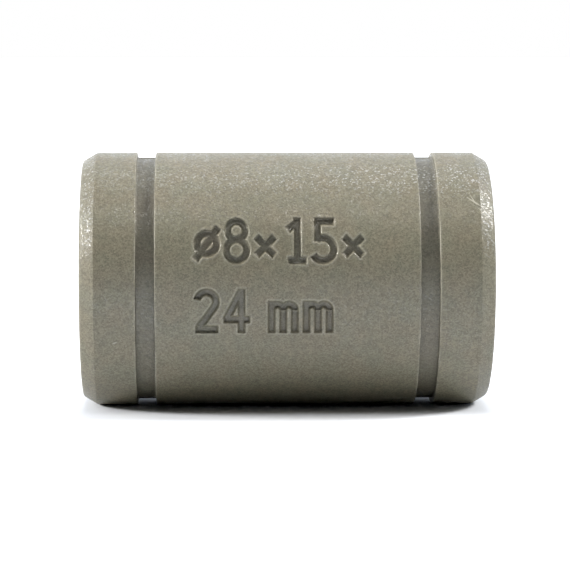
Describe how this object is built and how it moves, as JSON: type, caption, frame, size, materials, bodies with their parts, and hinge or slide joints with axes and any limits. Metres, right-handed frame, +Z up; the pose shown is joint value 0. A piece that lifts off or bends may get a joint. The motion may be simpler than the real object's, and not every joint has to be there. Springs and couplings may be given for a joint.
{
  "type": "linear plain bushing",
  "caption": "One-piece polymer sleeve that slides along a round shaft, with ring grooves outside and a slotted bore inside.",
  "frame": {"origin": "middle of the bore, halfway between the two end faces", "axes": "+X along the bore, +Z up with the sleeve lying on its side, and the size mark faces -Y"},
  "size_m": [0.024, 0.015, 0.015],
  "materials": {
    "polymer": "moulded bearing polymer, taupe grey, satin, with fine bright fillers"
  },
  "bodies": {
    "root": {"bushing_sleeve": "polymer"}
  },
  "joints": []
}
